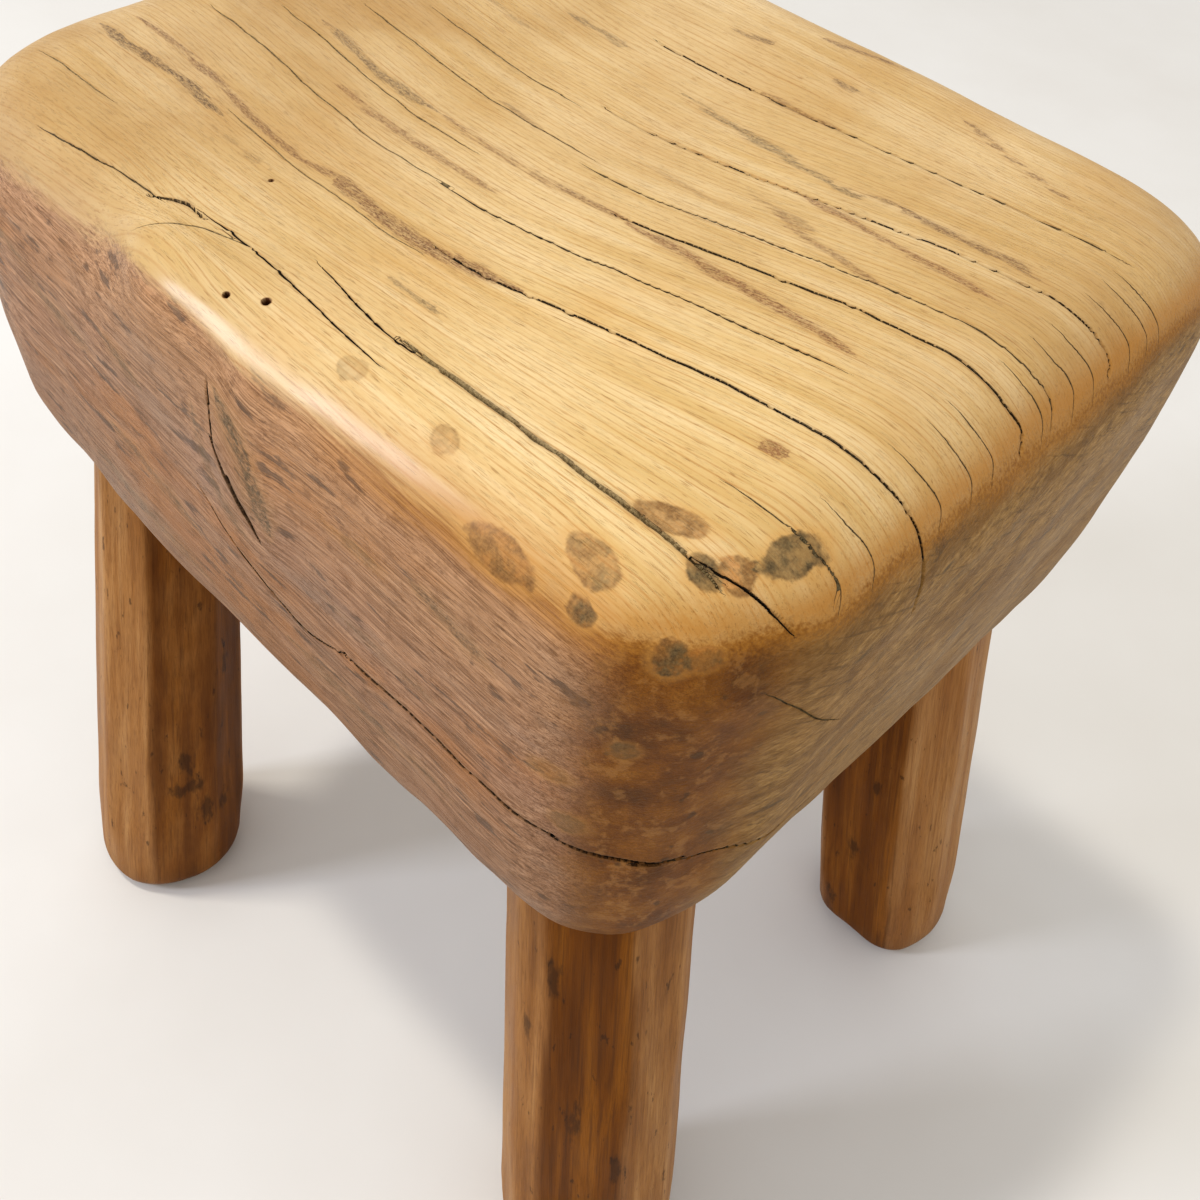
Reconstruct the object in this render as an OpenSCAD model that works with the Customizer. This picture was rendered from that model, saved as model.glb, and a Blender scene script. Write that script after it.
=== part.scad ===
// Milking stool: one thick block of oak on four splayed legs.
// Each leg ends in a round tenon, split by a wedge inside a blind mortise.
// Millimetres, +Z up, origin on the floor under the middle of the stool.
// +X runs along the grain of the seat.

/* [Seat] */
// Length of the top along the grain
seat_l = 348; // [340:1:360]
// Width of the top across the grain
seat_w = 277; // [270:1:290]
// Height of the seat's top above the floor
seat_h = 440; // [420:1:470]
// Thickness of the block at the middle of its length
seat_t = 173; // [160:1:185]
// How far the block sits towards +X, off the middle of the legs
seat_shift = -2; // [-6:1:2]
// Radius of the corners of the top, seen from above
top_corner_r = 44; // [36:1:60]
// Radius of the corners of the underside, seen from above
low_corner_r = 56; // [50:1:64]
// Rounding of the edge round the top
top_round = 20; // [8:1:28]
// Rounding of the edge round the underside
bottom_round = 46; // [36:1:48]
// How far the +X end leans in towards the underside
right_draft = 14; // [4:1:16]
// How far the -X end leans out towards the underside
left_flare = 10; // [0:1:12]
// How far each long side leans in towards the underside
side_draft = 4; // [0:1:8]
// How far the underside drops over the length of the block
under_drop = 36; // [0:1:44]

/* [Legs] */
// Distance of the leg centres from the middle, along the grain, at the seat
leg_top_x = 120; // [112:1:124]
// Distance of the leg centres from the middle, across the grain, at the seat
leg_top_y = 94; // [86:1:96]
// Distance of the leg centres from the middle, along the grain, at the floor
leg_foot_x = 153; // [130:1:165]
// Distance of the leg centres from the middle, across the grain, at the floor
leg_foot_y = 127; // [110:1:140]
// Radius of a leg over its corners at the seat
leg_top_r = 32; // [30:1:34]
// Radius of a leg over its corners at the floor
leg_foot_r = 39.5; // [34:0.5:42]
// Number of flats hewn round a leg
leg_flats = 10; // [8:1:12]
// Height of the worn bevel round a foot
foot_bevel_h = 9; // [4:1:14]
// Width of the worn bevel round a foot
foot_bevel_w = 7; // [3:1:12]

/* [Joints] */
// Radius of the round tenon
tenon_r = 24; // [20:1:26]
// Length of the tenon above the seat's underside
tenon_l = 86; // [70:1:100]
// Clearance round the tenon in its mortise
tenon_gap = 0.05; // [0.02:0.01:0.2]
// Space between the end of the tenon and the floor of the mortise
end_gap = 2; // [1:0.5:4]
// Depth of the saw kerf in the end of the tenon
kerf_l = 54; // [50:1:60]
// Width of the saw kerf at its root
kerf_w = 2; // [1.5:0.5:3]
// Length of the wedge
wedge_l = 44; // [36:1:48]
// Thickness of the wedge at its driven end
wedge_t = 7; // [5:0.5:9]

/* [Hidden] */

// Positions in the lists below
FRONT_RIGHT = 0;
FRONT_LEFT = 1;
BACK_RIGHT = 2;
BACK_LEFT = 3;

// Which corner of the stool each leg stands at: signs of x and y
CORNER = [[1, -1], [-1, -1], [1, 1], [-1, 1]];
// Where each hand-bored mortise strays from the even layout, outwards
TOP_STRAY = [[-1, -3], [3, 3], [-2, 0], [1, 1]];
// Where each foot strays from the even layout, outwards
FOOT_STRAY = [[3, -14], [-5, 5], [-1, 0], [3, 5]];
// Turn of each leg's flats about its length
FLAT_TURN = [10, 4, 22, 28];
// How much thinner or thicker than the even size each leg is at the seat
TOP_R_STRAY = [1, -4, 3, 0];

oak_seat = [0.85, 0.68, 0.46];
oak_leg = [0.56, 0.38, 0.23];
oak_wedge = [0.72, 0.56, 0.36];

under_slope = under_drop / seat_l;
under_angle = atan(under_slope);
// A leg's blank runs this far up into the block before it is scribed to it
scribe_h = bottom_round + 5;
// The tenon's cylinder starts this far inside the leg
tenon_root = 40;
// Cuts run this far past the faces that they open
past = 30;

// Height of the flat underside above the floor
function underside(x) = seat_h - seat_t - under_slope * x;

function corner_point(i, x, y, stray) =
    [CORNER[i].x * (x + stray.x), CORNER[i].y * (y + stray.y)];
function foot_at(i) = corner_point(i, leg_foot_x, leg_foot_y, FOOT_STRAY[i]);
function top_at(i) = corner_point(i, leg_top_x, leg_top_y, TOP_STRAY[i]);
function shoulder(i) = let (top = top_at(i)) [top.x, top.y, underside(top.x)];

// Unit vector up the middle of a leg
function leg_axis(i) =
    let (foot = foot_at(i), run = shoulder(i) - [foot.x, foot.y, 0]) run / norm(run);

// One level ring of a leg's corners at height z, drawn in by inset
function leg_ring(i, z, inset) =
    let (foot = foot_at(i),
         up = shoulder(i),
         share = z / up.z,
         centre = foot + share * ([up.x, up.y] - foot),
         r = leg_foot_r + share * (leg_top_r + TOP_R_STRAY[i] - leg_foot_r) - inset)
    [for (k = [0 : leg_flats - 1])
        let (turn = FLAT_TURN[i] + 360 * k / leg_flats)
        [centre.x + r * cos(turn), centre.y + r * sin(turn), z]];

// Side faces between ring n and ring n + 1
function band_faces(n) =
    [for (k = [0 : leg_flats - 1])
        let (next = (k + 1) % leg_flats, low = n * leg_flats, high = low + leg_flats)
        [low + k, high + k, high + next, low + next]];

// A leg before its top is scribed to the seat: worn bevel, then straight taper
module leg_blank(i) {
    last_ring = 2 * leg_flats;
    polyhedron(
        points = concat(leg_ring(i, 0, foot_bevel_w),
                        leg_ring(i, foot_bevel_h, 0),
                        leg_ring(i, shoulder(i).z + scribe_h, 0)),
        faces = concat([[for (k = [0 : leg_flats - 1]) k]],
                       band_faces(0),
                       band_faces(1),
                       [[for (k = [leg_flats - 1 : -1 : 0]) last_ring + k]]));
}

// Moves children from the origin to the shoulder of a leg, with +Z up the leg
// and +X still pointing roughly along the grain
module at_shoulder(i) {
    axis = leg_axis(i);
    turn = atan2(axis.y, axis.x);
    translate(shoulder(i))
        rotate([0, acos(axis.z), turn])
            rotate(-turn)
                children();
}

// Outline of the wedge across the kerf, driven end up
module wedge_outline() {
    high = tenon_l + end_gap;
    low = tenon_l - wedge_l;
    polygon([[-kerf_w / 2, low], [kerf_w / 2, low], [wedge_t / 2, high], [-wedge_t / 2, high]]);
}

// The kerf below the wedge, as sawn
module kerf_outline() {
    translate([-kerf_w / 2, tenon_l - kerf_l])
        square([kerf_w, kerf_l - wedge_l]);
}

// Runs an outline right across the tenon, square to the grain
module across_tenon() {
    rotate([90, 0, 0])
        linear_extrude(2 * (tenon_r + past), center = true)
            children();
}

module leg(i) {
    color(oak_leg)
        difference() {
            union() {
                difference() {
                    leg_blank(i);
                    seat_block();
                }
                at_shoulder(i)
                    translate([0, 0, -tenon_root])
                        cylinder(h = tenon_root + tenon_l, r = tenon_r, $fn = 96);
            }
            at_shoulder(i)
                across_tenon() {
                    wedge_outline();
                    kerf_outline();
                }
        }
}

module wedge(i) {
    color(oak_wedge)
        at_shoulder(i)
            intersection() {
                across_tenon() wedge_outline();
                cylinder(h = tenon_l + past, r = tenon_r, $fn = 96);
            }
}

// One corner of the block, as a disc whose rim has the edge's own rounding
module rounded_disc(disc_r, edge_r) {
    rotate_extrude($fn = 64)
        intersection() {
            translate([disc_r - edge_r, 0])
                circle(r = edge_r, $fn = 32);
            translate([0, -edge_r])
                square([disc_r, 2 * edge_r]);
        }
}

// The hewn block before the mortises are bored
module seat_block() {
    hull()
        for (x_side = [-1, 1], y_side = [-1, 1]) {
            top_x = seat_shift + x_side * (seat_l / 2 - top_corner_r);
            top_y = y_side * (seat_w / 2 - top_corner_r);
            low_end = seat_shift + x_side * seat_l / 2 - (x_side > 0 ? right_draft : left_flare);
            low_x = low_end - x_side * low_corner_r;
            low_y = y_side * (seat_w / 2 - side_draft - low_corner_r);
            translate([top_x, top_y, seat_h - top_round])
                rounded_disc(top_corner_r, top_round);
            translate([low_x, low_y, underside(low_x)])
                rotate([0, under_angle, 0])
                    translate([0, 0, bottom_round])
                        rounded_disc(low_corner_r, bottom_round);
        }
}

module seat() {
    color(oak_seat)
        difference() {
            seat_block();
            for (i = [FRONT_RIGHT : BACK_LEFT])
                at_shoulder(i)
                    translate([0, 0, -past])
                        cylinder(h = past + tenon_l + end_gap, r = tenon_r + tenon_gap, $fn = 96);
        }
}

seat();
leg(FRONT_RIGHT);  // leg_front_right
leg(FRONT_LEFT);  // leg_front_left
leg(BACK_RIGHT);  // leg_back_right
leg(BACK_LEFT);  // leg_back_left
wedge(FRONT_RIGHT);  // wedge_front_right
wedge(FRONT_LEFT);  // wedge_front_left
wedge(BACK_RIGHT);  // wedge_back_right
wedge(BACK_LEFT);  // wedge_back_left
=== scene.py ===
"""A wooden milking stool: one hewn block of oak on four shaved legs.

The shapes are worked out in millimetres, in the frame of the CAD model, and turned into metres
when they become meshes. +X runs along the grain of the seat, +Z is up, and the floor is z = 0.
"""

import math

import bmesh
import bpy
import numpy as np
from mathutils import Matrix, Vector
from mathutils.kdtree import KDTree


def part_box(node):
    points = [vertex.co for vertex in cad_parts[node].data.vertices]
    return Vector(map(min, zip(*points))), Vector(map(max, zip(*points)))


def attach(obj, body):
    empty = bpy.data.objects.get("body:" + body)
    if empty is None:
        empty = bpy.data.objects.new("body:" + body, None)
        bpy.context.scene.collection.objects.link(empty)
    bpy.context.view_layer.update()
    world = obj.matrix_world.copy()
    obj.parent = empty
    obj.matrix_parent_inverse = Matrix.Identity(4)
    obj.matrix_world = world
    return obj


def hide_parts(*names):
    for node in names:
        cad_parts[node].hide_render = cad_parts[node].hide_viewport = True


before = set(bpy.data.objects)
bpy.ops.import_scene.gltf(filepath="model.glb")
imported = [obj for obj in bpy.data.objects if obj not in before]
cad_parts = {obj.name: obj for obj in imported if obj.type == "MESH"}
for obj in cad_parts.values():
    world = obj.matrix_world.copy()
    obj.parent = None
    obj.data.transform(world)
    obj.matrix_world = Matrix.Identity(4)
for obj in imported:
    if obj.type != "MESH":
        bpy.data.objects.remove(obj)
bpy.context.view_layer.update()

MM = 0.001


# ==== Small tools: noise, smooth steps and curves ====

def lattice(cell, seed):
    """A repeatable number from 0 to 1 for each whole-number cell."""
    mixed = cell[..., 0] * 374761393 + cell[..., 1] * 668265263 + cell[..., 2] * 1103515245
    mixed = (mixed + seed * 362437) & 0xFFFFFFFF
    mixed = ((mixed ^ (mixed >> 13)) * 1274126177) & 0xFFFFFFFF
    mixed = ((mixed ^ (mixed >> 15)) * 2246822519) & 0xFFFFFFFF
    return ((mixed ^ (mixed >> 16)) & 0xFFFFFF) / 0xFFFFFF


def noise(points, size, seed=0):
    """Smooth noise from -1 to 1 whose lumps are about `size` across."""
    scaled = np.asarray(points, float) / size
    cell = np.floor(scaled).astype(np.int64)
    part = scaled - cell
    part = part * part * (3 - 2 * part)
    total = np.zeros(scaled.shape[:-1])
    for corner in np.ndindex(2, 2, 2):
        corner = np.array(corner)
        weight = np.prod(np.where(corner == 1, part, 1 - part), axis=-1)
        total += weight * lattice(cell + corner, seed)
    return total * 2 - 1


def smooth_step(value, low, high):
    """0 below low, 1 above high, and a smooth rise between."""
    share = np.clip((value - low) / (high - low), 0, 1)
    return share * share * (3 - 2 * share)


def smooth_max(a, b, blend):
    """The larger of two fields, rounded where they are within `blend` of each other."""
    near = np.maximum(blend - np.abs(a - b), 0) / blend
    return np.maximum(a, b) + near * near * blend / 4


def curve_through(points, spacing):
    """A smooth line through a few points, as points about `spacing` apart."""
    points = np.asarray(points, float)
    ends = np.vstack([2 * points[0] - points[1], points, 2 * points[-1] - points[-2]])
    pieces = []
    for before, start, end, after in zip(ends, ends[1:], ends[2:], ends[3:]):
        count = max(2, int(np.linalg.norm(end - start) / spacing))
        t = np.linspace(0, 1, count, endpoint=False)[:, None]
        bend_1 = end - before
        bend_2 = 2 * before - 5 * start + 4 * end - after
        bend_3 = 3 * start - before - 3 * end + after
        pieces.append(start + (bend_1 * t + bend_2 * t**2 + bend_3 * t**3) / 2)
    pieces.append(points[-1:])
    return np.vstack(pieces)


# ==== The shape of the block ====

SEAT_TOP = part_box("seat")[1].z / MM
SEAT_LENGTH = 354
SEAT_WIDTH = 277
SEAT_DEPTH = 173
# The block gets deeper to the right
UNDER_SLOPE = 36 / 342
# The box whose faces are pushed out to make the block: half its size, its faces along each axis,
# how near to a crack they are split in each round, and its middle
SHELL_HALF = (175, 138, 88)
SHELL_COUNTS = ((116, 92, 50))
FINER_WITHIN = ((5.0, 2.8, 1.6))
SEAT_CORE = np.array([0, 0, SEAT_TOP - SHELL_HALF[2]])
# How often a search for a surface halves its range
HALVINGS = 26

# Each hewn side: the way it faces, its distance from the middle at the top, how far it leans in
# at the underside, how far it curves away at its ends, and how far it swells at half height.
SIDES = {
    "front": dict(faces=-90, distance=137, lean=2, curve=4, swell=4),
    "right": dict(faces=0, distance=173, lean=16, curve=0, swell=7),
    "left": dict(faces=180, distance=176, lean=0, curve=6, swell=8),
    "back": dict(faces=90, distance=140, lean=10, curve=2, swell=3),
}
SIDE_HALF = 150
# How softly neighbouring sides meet
CORNERS = [("front", "right", 16), ("front", "left", 60), ("back", "right", 44), ("back", "left", 50)]
# Extra flats hewn at the front right corner
CORNER_FLATS = [
    dict(faces=-73, distance=169.5, lean=5, blend=2),
    dict(faces=-50, distance=195.5, lean=8, blend=2.5),
    dict(faces=-22, distance=195.5, lean=11, blend=3),
]
# The middle of that corner, seen from above
CORNER_LINE = (158, -120)
# Rounding of the top edge on each side, and of the edge round the underside
TOP_EDGE = dict(front=26, back=22, right=38, left=30)
UNDER_EDGE = 54
# Local swellings and hollows: middle, reach along each axis, height
LUMPS = [
    ((-30, -130, 435), (26, 15, 14), 3.5),
    ((-65, -140, 435), (20, 16, 20), -5.0),
    ((-120, -135, 435), (40, 16, 22), -3.0),
    ((5, -140, 390), (14, 12, 30), 2.0),
    ((120, -60, 440), (60, 50, 10), -1.0),
    ((-20, 20, 440), (110, 80, 10), -1.5),
]
# Tool marks: height and size
TOOL_MARKS = [(1.1, 62), (0.6, 27), (0.28, 11)]
# How far the whole surface is set in, to make room for its bumps
SINK = 0.45


def side_field(points, faces, distance, lean, curve=0, swell=0):
    """How far points stand outside one hewn side."""
    angle = math.radians(faces)
    out = points[..., 0] * math.cos(angle) + points[..., 1] * math.sin(angle)
    along = points[..., 1] * math.cos(angle) - points[..., 0] * math.sin(angle)
    down = (SEAT_TOP - points[..., 2]) / SEAT_DEPTH
    bow = curve * (along / SIDE_HALF) ** 2 - swell * 4 * down * (1 - down)
    return out - distance + lean * down + bow


def seat_field(points):
    """Roughly how far points stand outside the block; zero on its surface."""
    sides = {name: side_field(points, **shape) for name, shape in SIDES.items()}
    field = np.maximum.reduce([smooth_max(sides[a], sides[b], blend) for a, b, blend in CORNERS])
    for flat in CORNER_FLATS:
        shape = {key: flat[key] for key in ("faces", "distance", "lean")}
        field = smooth_max(field, side_field(points, **shape), flat["blend"])
    angle = np.arctan2(points[..., 1] / SEAT_WIDTH, points[..., 0] / SEAT_LENGTH)
    edge = 0
    for name, rounding in TOP_EDGE.items():
        towards = np.cos(angle - math.radians(SIDES[name]["faces"]))
        edge = edge + rounding * np.maximum(0, towards) ** 2
    field = smooth_max(field, points[..., 2] - SEAT_TOP, edge)
    under = SEAT_TOP - SEAT_DEPTH - UNDER_SLOPE * points[..., 0]
    field = smooth_max(field, under - points[..., 2], UNDER_EDGE)
    for middle, reach, height in LUMPS:
        away = (points - np.array(middle)) / np.array(reach)
        field = field - height * np.exp(-np.sum(away * away, axis=-1))
    # Broad tool marks: strong on the sides, faint on the worn top
    rough = 1 - 0.75 * smooth_step(points[..., 2], SEAT_TOP - 25, SEAT_TOP - 4)
    for seed, (height, size) in enumerate(TOOL_MARKS, 11):
        field = field + rough * height * noise(points, size, seed)
    return field + SINK


def field_slope(points, step=0.25):
    """Unit outward direction of the seat's surface at points."""
    slope = np.stack(
        [seat_field(points + step * axis) - seat_field(points - step * axis) for axis in np.eye(3)], axis=-1
    )
    return slope / np.linalg.norm(slope, axis=-1, keepdims=True)


def search(count, low, high, before):
    """Where each of `count` lines, between low and high along it, stops being `before`."""
    low = np.full(count, low)
    high = np.full(count, high)
    for _ in range(HALVINGS):
        middle = (low + high) / 2
        here = before(middle)
        low = np.where(here, middle, low)
        high = np.where(here, high, middle)
    return (low + high) / 2


def on_seat(directions):
    """Where lines from the middle of the block, in these directions, leave its surface."""
    def inside(away):
        return seat_field(SEAT_CORE + directions * away[:, None]) < 0

    away = search(len(directions), 60.0, 330.0, inside)
    return SEAT_CORE + directions * away[:, None]


def drop_to_seat(points):
    """Moves points that are near the surface onto it."""
    for _ in range(4):
        points = points - field_slope(points) * seat_field(points)[:, None]
    return points


# ==== Marks on the block: cracks, holes, streaks and stains ====

TOP = SEAT_TOP
# Where a point lies when it is given by two numbers: along a side, then height above the floor
PLANES = {
    "front": lambda a, z: (a, -140, z),
    "back": lambda a, z: (a, 140, z),
    "right": lambda a, z: (174, a, z),
    "left": lambda a, z: (-178, a, z),
}


def grain_drift(x, y):
    """How far the fibres near (x, y) have strayed across the block: they dip in the middle of its
    length and rise to the right, and run straighter along the two long edges."""
    drift = 24 * smooth_step(x, 0, 150) - 12 * smooth_step(x, -150, -30)
    return drift * smooth_step(y, -115, -50) * (1 - 1.2 * smooth_step(y, 45, 105))


def along_grain(line, start, end, slant=0, over=0):
    """A path that follows the fibres over the top. `line` says which fibre, by its place across the
    block at the left end; slant is how far the path strays from it, and over how far it runs down
    the right-hand end."""
    share = np.linspace(0, 1, 9)
    x = start + (end - start) * share
    y = line + slant * share + grain_drift(x, np.full(9, float(line)))
    path = [(a, b, TOP) for a, b in zip(x, y)]
    if over:
        path += [(170, y[-1] + 1, TOP - over / 2), (174, y[-1] - 2, TOP - over)]
    return path


def on_side(side, *points):
    """A path over one hewn side, from its points as (along the side, height)."""
    return [PLANES[side](along, height) for along, height in points]


# Checks along the grain of the top: fibre, start, end, slant, how far over the end; then half
# width, depth and darkness
CHECKS = [
    (-60, 15, 155, 0, 35, 0.32, 2.5, 0.85),
    (-10, 35, 160, 0, 12, 0.34, 2.5, 0.8),
    (35, -10, 155, 0, 10, 0.26, 2.5, 0.85),
    (75, -30, 20, 0, 0, 0.34, 2.5, 0.95),
    (75, 15, 150, 0, 0, 0.22, 1.5, 0.7),
    (-35, -140, -5, 0, 0, 0.18, 0.6, 0.6),
    (-35, -10, 125, 0, 0, 0.22, 1.2, 0.75),
    (-15, -125, -15, 0, 0, 0.18, 0.6, 0.6),
    (10, -110, 10, 0, 0, 0.18, 0.6, 0.6),
    (5, 10, 155, 0, 12, 0.2, 1.2, 0.7),
    (30, -95, -15, 0, 0, 0.18, 0.6, 0.6),
    (-65, -80, 15, 0, 0, 0.16, 0.5, 0.5),
    (-95, -150, -105, 0, 0, 0.18, 0.5, 0.5),
    (-85, 130, 160, 0, 8, 0.18, 0.8, 0.7),
]
# Short fine checks over the rounded end: fibre
END_CHECKS = [-85, -75, -50, -35, -25, 0, 15, 25, 45, 55, 65]
# Every crack: path, half width, depth, darkness
CRACKS = [(along_grain(*check[:5]), *check[5:]) for check in CHECKS]
CRACKS += [(along_grain(line, 150, 160, 0, 14), 0.16, 0.5, 0.7) for line in END_CHECKS]
CRACKS += [
    # Front edge, through the knot
    ([(-110, -120, TOP), (-65, -115, TOP), (-50, -115, TOP)], 0.2, 1.5, 0.7),
    ([(-55, -115, TOP), (-45, -110, TOP), (-35, -110, TOP)], 0.65, 5, 1),
    ([(-40, -110, TOP), (-10, -110, TOP), (45, -115, TOP)], 0.22, 1.5, 0.85),
    ([(-45, -125, 435), (-30, -115, TOP), (-15, -110, TOP)], 0.18, 0.5, 0.6),
    # The long check from the middle of the front to the end, packed with pale grit
    ([(0, -100, TOP), (35, -105, TOP), (55, -105, TOP)], 0.22, 1.6, 0.9),
    ([(40, -105, TOP), (80, -105, TOP), (150, -105, 435)], 0.65, 2, 0.45),
    ([(140, -105, 440), (155, -100, 435), (165, -95, 425)], 0.34, 2.5, 0.85),
    # The long crack low on the front side, and its open mouth at the corner
    (on_side("front", (-15, 370), (25, 345), (55, 350)), 0.34, 2, 0.85),
    (on_side("front", (50, 350), (90, 345), (135, 340)), 0.6, 4, 0.85),
    ([(130, -130, 340), (155, -115, 335)], 0.65, 5, 0.9),
    ([(150, -120, 335), (160, -110, 335)], 1.4, 6, 1),
    ([(155, -115, 335), (165, -95, 330), (170, -50, 315)], 0.26, 1.5, 0.75),
    (on_side("right", (-105, 410), (-90, 395), (-70, 375)), 0.2, 0.6, 0.7),
    # The open split beside the knot on the front side
    (on_side("front", (0, 420), (0, 400), (5, 390)), 0.3, 2, 0.8),
    (on_side("front", (0, 400), (10, 380), (15, 370)), 1.25, 7, 1),
]
# Beetle holes: middle and radius
HOLES = [((-5, -125, 436), 0.9), ((5, -120, 438), 1.15), ((-40, -85, TOP), 0.7)]

# Streaks along the top, where early wood lies open: fibre, start, end, slant; then half width,
# strength, and brown from 0 to grey at 1
TOP_STREAKS = [
    (-70, -155, -75, 0, 1.9, 1, 0.8),
    (-75, -80, -45, 0, 1.4, 0.5, 0.8),
    (-60, -150, -30, 0, 1.5, 0.85, 0.35),
    (-60, -45, 45, 0, 2.4, 1, 0.3),
    (-25, -80, 10, 0, 1.7, 0.75, 0.25),
    (-45, -25, 10, 0, 1.2, 0.6, 0.1),
    (-10, -110, -40, 0, 2, 0.8, 0.85),
    (-10, -45, 45, 0, 1.5, 0.9, 0.35),
    (-10, 40, 130, -20, 2, 0.95, 0.1),
    (10, -35, -10, 0, 1.1, 0.6, 0.5),
    (60, 0, 85, -15, 1.8, 0.75, 1),
    (50, 70, 140, -10, 1.9, 0.9, 0.55),
    (35, 60, 140, -15, 1.6, 0.9, 0.15),
    (20, 65, 110, -15, 1.8, 0.7, 0.3),
    (25, 50, 80, -5, 1.3, 0.5, 0.5),
    (110, 65, 130, -15, 1.4, 0.85, 0.45),
    (75, 15, 50, 0, 1.6, 0.7, 0.3),
    (95, -20, 0, 5, 1.7, 0.8, 0.7),
    (95, 25, 40, 0, 1.6, 0.8, 0.7),
    (115, 5, 40, 10, 1.6, 0.9, 0.5),
    (-85, 15, 40, 0, 1.2, 0.7, 1),
    (65, -65, -30, 0, 1.8, 0.6, 1),
    (50, -110, -60, 0, 1.5, 0.4, 0.9),
    (-70, 125, 135, 0, 2, 1, 0),
    (20, 20, 60, -5, 1.2, 0.35, 0.5),
    (80, -140, -60, 5, 1.5, 0.5, 0.6),
    (110, -90, -35, 5, 1.5, 0.6, 0.4),
]
# Streaks on the sides: side, points as (along the side, height); then as above
SIDE_STREAKS = [
    ("front", [(5, 420), (15, 400), (21, 375)], 3.2, 0.9, 1),
    ("front", [(-10, 410), (-5, 385), (10, 365)], 1.8, 0.45, 1),
    ("front", [(-60, 400), (-40, 390)], 2.2, 0.7, 0.9),
    ("front", [(-105, 395), (-70, 385)], 2.2, 0.6, 0.9),
    ("front", [(-130, 410), (-100, 400)], 1.8, 0.6, 0.9),
    ("front", [(-70, 360), (-20, 345)], 2.4, 0.5, 1),
    ("front", [(-90, 335), (-20, 320)], 2.6, 0.45, 1),
    ("front", [(20, 330), (95, 320)], 2.4, 0.5, 0.9),
    ("front", [(80, 405), (110, 395)], 1.8, 0.8, 0.8),
    ("front", [(40, 370), (95, 360)], 1.4, 0.5, 0.7),
    ("right", [(-45, 400), (10, 405)], 2, 0.55, 1),
    ("right", [(-70, 355), (-30, 355)], 2.2, 0.5, 1),
    ("right", [(20, 380), (80, 390)], 2, 0.5, 1),
    ("back", [(-60, 400), (20, 400)], 2.2, 0.6, 0.8),
    ("back", [(-100, 350), (0, 340)], 2.4, 0.5, 0.9),
    ("back", [(30, 375), (110, 365)], 1.8, 0.5, 0.9),
    ("left", [(-40, 400), (40, 400)], 2.2, 0.55, 0.9),
]
# Every streak: path, half width, strength, greyness
STREAKS = [(along_grain(*row[:4]), *row[4:]) for row in TOP_STREAKS]
STREAKS += [(on_side(side, *points), *rest) for side, points, *rest in SIDE_STREAKS]
# Stains: middle, reach along its length, across and in depth, turn about Z in degrees, then how
# strong it is, how grey, and how orange
STAINS = [
    ((130, -100, TOP), (9, 4.5, 12), 20, 0.9, 0.1, 0.4),
    ((150, -100, 435), (5, 4.5, 9), 0, 0.9, 0.2, 1),
    ((145, -105, 435), (5.5, 4.5, 9), 0, 1, 1, 0),
    ((155, -85, 435), (10, 5, 9), 80, 1, 1, 0),
    ((105, -130, 430), (11, 4, 6), 0, 0.9, 0.1, 0.5),
    ((125, -120, 435), (8, 4.5, 6), -10, 0.75, 0.3, 0.5),
    ((130, -130, 430), (5, 3.5, 4), 0, 1, 0.6, 0.3),
    ((150, -120, 425), (4.5, 4.5, 5), 0, 1, 0.5, 0.4),
    ((155, -115, 425), (5, 4, 3), 0, 0.7, 0.1, 0.8),
    ((75, -120, 440), (5.5, 4, 8), -20, 0.5, 0.2, 0.6),
    ((40, -120, TOP), (5, 3.5, 8), 0, 0.35, 0.6, 0.1),
    ((145, -125, 390), (6, 4, 4), -40, 0.6, 0.7, 0.1),
    ((130, -135, 370), (6, 5, 3.5), 0, 0.7, 0.3, 0.4),
    ((135, -130, 350), (8, 5, 4), -30, 0.5, 0.8, 0.1),
    ((60, -140, 400), (12, 4, 2.5), 0, 0.4, 0.8, 0),
    ((170, -60, 395), (4, 9, 5), 0, 0.35, 0.9, 0),
    ((170, -30, 370), (4, 8, 4), 0, 0.4, 0.9, 0),
    ((-170, 60, 400), (6, 14, 5), 0, 0.5, 0.8, 0),
    ((-80, 140, 385), (15, 6, 5), 0, 0.5, 0.8, 0),
    ((40, 140, 360), (10, 6, 6), 0, 0.5, 0.5, 0.3),
]
# Distance between the points of a crack's line, and of a streak's
CRACK_SPACING = 0.7
STREAK_SPACING = 1.5
# How far from a crack, or a streak, points take note of it
CRACK_REACH = 9.0
STREAK_REACH = 16.0
# Distances in half widths that count as far away
FAR_CRACK = 40
FAR_STREAK = 30


def wavering(path, number, spacing, slow, fast):
    """A line over the surface through a few points, with small natural wanders."""
    line = drop_to_seat(curve_through(path, spacing))
    across = np.cross(field_slope(line), np.gradient(line, axis=0))
    across /= np.linalg.norm(across, axis=1, keepdims=True)
    wander = slow * noise(line, 9, 40 + number) + fast * noise(line, 2.5, 90 + number)
    wander += 2.2 * slow * noise(line, 34, 60 + number)
    return drop_to_seat(line + across * wander[:, None])


def crack_lines():
    """Every crack as (points, half width at each point, depth, darkness)."""
    lines = []
    for number, (path, half, depth, dark) in enumerate(CRACKS):
        line = wavering(path, number, CRACK_SPACING, 0.45, 0.16)
        run = np.arange(len(line)) * CRACK_SPACING
        taper = smooth_step(np.minimum(run, run[-1] - run), 0, 12)
        half = half * (0.35 + 0.65 * taper) * (1 + 0.3 * noise(line, 6, 90 + number))
        lines.append((line, half, depth, dark))
    return lines


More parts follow.
